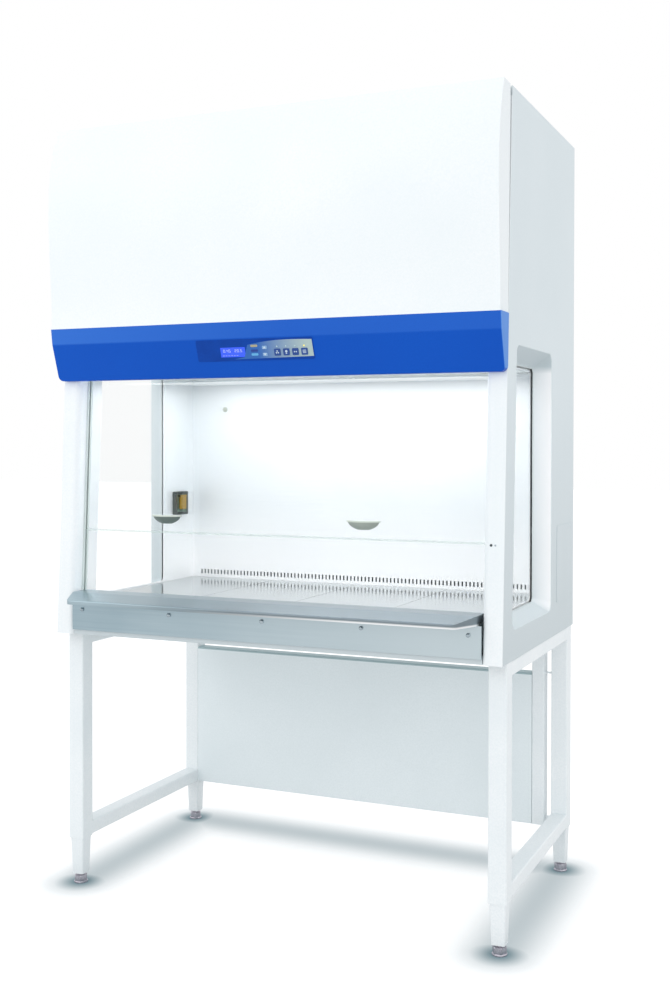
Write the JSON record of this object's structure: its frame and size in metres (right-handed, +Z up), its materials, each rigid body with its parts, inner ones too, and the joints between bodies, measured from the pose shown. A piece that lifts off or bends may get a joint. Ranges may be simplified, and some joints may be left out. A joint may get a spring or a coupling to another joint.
{
  "type": "biosafety cabinet",
  "caption": "Free-standing Class II biosafety cabinet on a tubular stand, with sloping sash, bowed hood door, blue control fascia, stainless work zone and side windows.",
  "frame": {"origin": "middle of the floor rectangle that the cabinet covers, armrest included", "axes": "+Z up, +Y towards the back, +X to the seated user's right"},
  "size_m": [1.344, 0.832, 2.195],
  "materials": {
    "white_enamel": "smooth white powder coat",
    "side_enamel": "fine textured light grey-white powder coat",
    "stand_enamel": "smooth white powder coat",
    "stainless": "fine brushed stainless steel",
    "bright_steel": "bright polished steel",
    "fascia_blue": "moulded blue plastic, satin gloss",
    "overlay_film": "printed membrane film",
    "display_face": "liquid crystal display window",
    "key_blue": "dark blue key cap",
    "arrow_grey": "pale grey-blue key cap",
    "safety_glass": "clear laminated safety glass, green at its edges",
    "grip_plastic": "moulded beige-grey plastic",
    "guide_aluminium": "satin anodised aluminium",
    "weight_iron": "grey painted iron bar",
    "wire_rope": "fine steel wire rope",
    "pulley_plastic": "natural nylon",
    "shaft_steel": "ground steel",
    "filter_media": "pleated filter media in a light frame",
    "galvanised": "galvanised sheet",
    "motor_black": "black painted motor case",
    "lamp_white": "opal coated lamp tube and white holders",
    "socket_grey": "dark grey moulded plastic",
    "flap_yellow": "yellow moulded plastic",
    "valve_brass": "cast and turned brass",
    "lever_red": "dipped plastic coat",
    "foot_steel": "zinc plated steel"
  },
  "bodies": {
    "cabinet": {"apron_knobs": "bright_steel", "armrest": "stainless", "back_panel": "side_enamel", "back_wall": "stainless", "blower_housing": "galvanised", "blower_motor": "motor_black", "cabinet_base": "side_enamel", "cable_loops": "wire_rope", "ceiling_diffuser": "stainless", "drain_pan": "stainless", "drain_valve": "valve_brass", "exhaust_filter": "filter_media", "front_column_left": "white_enamel", "front_column_right": "white_enamel", "front_grille": "stainless", "hood_hinge": "shaft_steel", "leg_sleeves": "stand_enamel", "modesty_panel": "white_enamel", "outlet_box": "socket_grey", "pressure_plenum": "galvanised", "sash_guides": "guide_aluminium", "service_cover": "side_enamel", "side_liner_left": "stainless", "side_liner_right": "stainless", "side_panel_left": "side_enamel", "side_panel_right": "side_enamel", "side_windows": "safety_glass", "stand_rear_frame": "stand_enamel", "stand_side_frame_left": "stand_enamel", "stand_side_frame_right": "stand_enamel", "supply_filter": "filter_media", "top_panel": "white_enamel", "work_lamp": "lamp_white"},
    "sash": {"sash_glass": "safety_glass", "sash_grips": "grip_plastic", "sash_carriers": "guide_aluminium"},
    "counterweights": {"counterweights": "weight_iron"},
    "pulley_shaft": {"pulley_shaft": "shaft_steel"},
    "lower_pulleys": {"lower_pulleys": "pulley_plastic"},
    "hood": {"hood_door": "white_enamel", "fascia": "fascia_blue", "control_panel": "overlay_film", "display": "display_face"},
    "outlet_flap": {"outlet_flap": "flap_yellow"},
    "drain_lever": {"drain_lever": "lever_red"},
    "blower_impeller": {"blower_impeller": "galvanised"},
    "fan_key": {"fan_key": "key_blue"},
    "lamp_key": {"lamp_key": "key_blue"},
    "socket_key": {"socket_key": "key_blue"},
    "menu_key": {"menu_key": "key_blue"},
    "up_key": {"up_key": "arrow_grey"},
    "down_key": {"down_key": "arrow_grey"},
    "foot_front_left": {"foot_front_left": "foot_steel"},
    "foot_front_right": {"foot_front_right": "foot_steel"},
    "foot_rear_left": {"foot_rear_left": "foot_steel"},
    "foot_rear_right": {"foot_rear_right": "foot_steel"},
    "work_tray_1": {"work_tray_1": "stainless"},
    "work_tray_2": {"work_tray_2": "stainless"},
    "work_tray_3": {"work_tray_3": "stainless"},
    "work_tray_4": {"work_tray_4": "stainless"}
  },
  "joints": [
    {"name": "sash_slide", "type": "slide", "parent": "cabinet", "child": "sash", "axis": [0, 0.0499, 0.9988], "range_m": [-0.17, 0.34]},
    {"name": "counterweight_slide", "type": "slide", "parent": "cabinet", "child": "counterweights", "axis": [0, 0.0499, 0.9988], "range_m": [-0.34, 0.17]},
    {"name": "pulley_shaft_spin", "type": "hinge", "parent": "cabinet", "child": "pulley_shaft", "pos_m": [0, -0.22165, 2.112], "axis": [1, 0, 0], "range_deg": [-890, 450]},
    {"name": "lower_pulley_spin", "type": "hinge", "parent": "cabinet", "child": "lower_pulleys", "pos_m": [0, -0.28725, 0.8], "axis": [1, 0, 0], "range_deg": [-890, 450]},
    {"name": "hood_hinge_turn", "type": "hinge", "parent": "cabinet", "child": "hood", "pos_m": [0, -0.268, 2.19], "axis": [-1, 0, 0], "range_deg": [0, 70]},
    {"name": "fan_key_press", "type": "slide", "parent": "hood", "child": "fan_key", "axis": [0, 0.955, 0.2967], "range_m": [0, 0.0008], "stiffness_N_per_m": 300, "springref_m": -0.001},
    {"name": "lamp_key_press", "type": "slide", "parent": "hood", "child": "lamp_key", "axis": [0, 0.955, 0.2967], "range_m": [0, 0.0008], "stiffness_N_per_m": 300, "springref_m": -0.001},
    {"name": "socket_key_press", "type": "slide", "parent": "hood", "child": "socket_key", "axis": [0, 0.955, 0.2967], "range_m": [0, 0.0008], "stiffness_N_per_m": 300, "springref_m": -0.001},
    {"name": "menu_key_press", "type": "slide", "parent": "hood", "child": "menu_key", "axis": [0, 0.955, 0.2967], "range_m": [0, 0.0008], "stiffness_N_per_m": 300, "springref_m": -0.001},
    {"name": "up_key_press", "type": "slide", "parent": "hood", "child": "up_key", "axis": [0, 0.955, 0.2967], "range_m": [0, 0.0008], "stiffness_N_per_m": 300, "springref_m": -0.001},
    {"name": "down_key_press", "type": "slide", "parent": "hood", "child": "down_key", "axis": [0, 0.955, 0.2967], "range_m": [0, 0.0008], "stiffness_N_per_m": 300, "springref_m": -0.001},
    {"name": "outlet_flap_turn", "type": "hinge", "parent": "cabinet", "child": "outlet_flap", "pos_m": [-0.5925, 0.2195, 1.122], "axis": [0, -1, 0], "range_deg": [0, 100], "stiffness_Nm_per_rad": 0.02, "springref_deg": -17.19},
    {"name": "drain_lever_turn", "type": "hinge", "parent": "cabinet", "child": "drain_lever", "pos_m": [0.42, -0.0255, 0.716], "axis": [0, 1, 0], "range_deg": [0, 90]},
    {"name": "blower_spin", "type": "hinge", "parent": "cabinet", "child": "blower_impeller", "pos_m": [-0.2, 0.038, 1.905], "axis": [1, 0, 0], "continuous": true},
    {"name": "foot_front_left_screw", "type": "slide", "parent": "cabinet", "child": "foot_front_left", "axis": [0, 0, -1], "range_m": [0, 0.035]},
    {"name": "foot_front_right_screw", "type": "slide", "parent": "cabinet", "child": "foot_front_right", "axis": [0, 0, -1], "range_m": [0, 0.035]},
    {"name": "foot_rear_left_screw", "type": "slide", "parent": "cabinet", "child": "foot_rear_left", "axis": [0, 0, -1], "range_m": [0, 0.035]},
    {"name": "foot_rear_right_screw", "type": "slide", "parent": "cabinet", "child": "foot_rear_right", "axis": [0, 0, -1], "range_m": [0, 0.035]},
    {"name": "work_tray_1_lift", "type": "slide", "parent": "cabinet", "child": "work_tray_1", "axis": [0, 0, 1], "range_m": [0, 0.06]},
    {"name": "work_tray_2_lift", "type": "slide", "parent": "cabinet", "child": "work_tray_2", "axis": [0, 0, 1], "range_m": [0, 0.06]},
    {"name": "work_tray_3_lift", "type": "slide", "parent": "cabinet", "child": "work_tray_3", "axis": [0, 0, 1], "range_m": [0, 0.06]},
    {"name": "work_tray_4_lift", "type": "slide", "parent": "cabinet", "child": "work_tray_4", "axis": [0, 0, 1], "range_m": [0, 0.06]}
  ],
  "couplings": [
    {"joint": "counterweight_slide", "follows": "sash_slide", "ratio": -1},
    {"joint": "pulley_shaft_spin", "follows": "sash_slide", "rad_per_m": -45.511},
    {"joint": "lower_pulley_spin", "follows": "sash_slide", "rad_per_m": -45.511}
  ]
}
